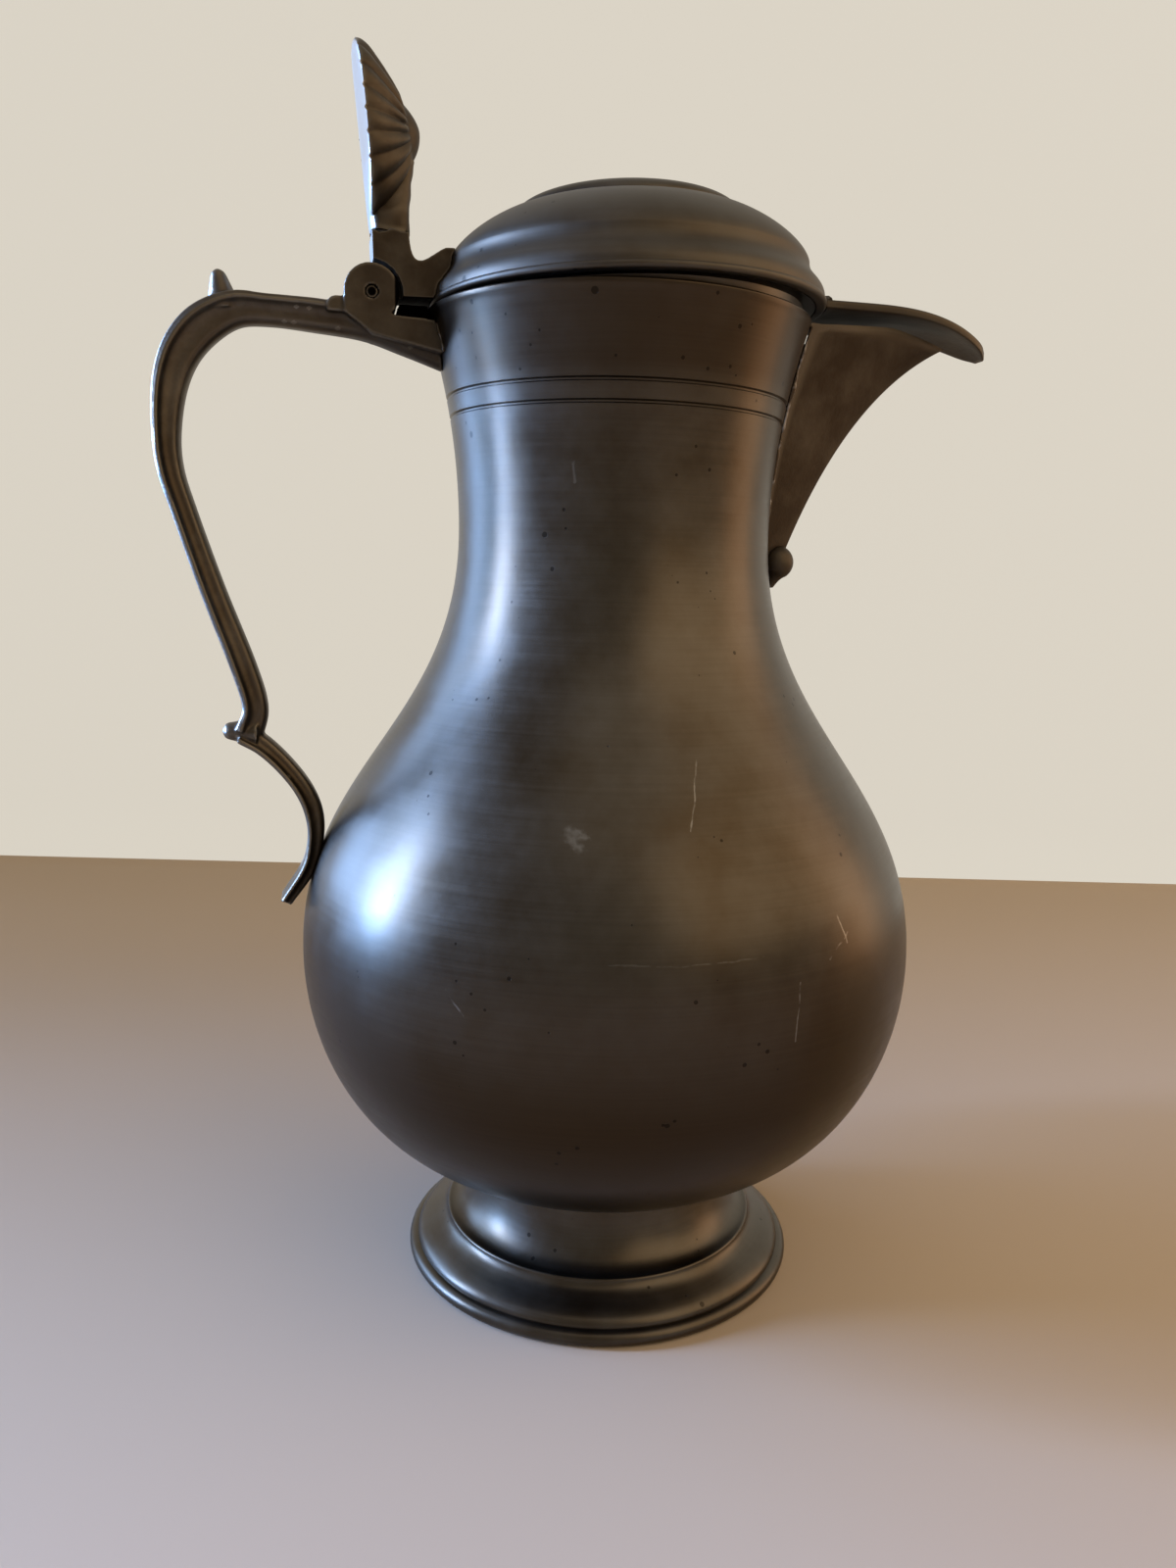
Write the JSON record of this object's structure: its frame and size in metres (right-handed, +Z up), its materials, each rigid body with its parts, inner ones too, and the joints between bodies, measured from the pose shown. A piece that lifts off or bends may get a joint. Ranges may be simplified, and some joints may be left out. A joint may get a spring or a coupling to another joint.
{
  "type": "wine flagon with hinged lid",
  "caption": "Pear-shaped pewter flagon on a turned foot, with a beak spout, an S-scroll handle and a domed hinged lid that a ribbed shell thumbpiece lifts.",
  "frame": {"origin": "centre of the foot's underside, on the table", "axes": "+Z up; +X along the spout and -X along the handle; the flagon is the same on both sides of the plane Y = 0"},
  "size_m": [0.1885, 0.1422, 0.2712],
  "materials": {
    "turned_pewter": "satin, turned, oxidised",
    "cast_pewter": "matt satin, cast, oxidised"
  },
  "bodies": {
    "jug": {"foot": "turned_pewter", "lower_body": "turned_pewter", "upper_body": "turned_pewter", "spout": "cast_pewter", "handle": "cast_pewter", "hinge_pin": "cast_pewter"},
    "lid_assembly": {"lid": "turned_pewter", "lid_bezel": "turned_pewter", "spout_flap": "cast_pewter", "lid_lever": "cast_pewter", "thumbpiece": "cast_pewter"}
  },
  "joints": [
    {"name": "lid_hinge", "type": "hinge", "parent": "jug", "child": "lid_assembly", "pos_m": [-0.0543, 0, 0.2217], "axis": [0, -1, 0], "range_deg": [0, 75]}
  ]
}
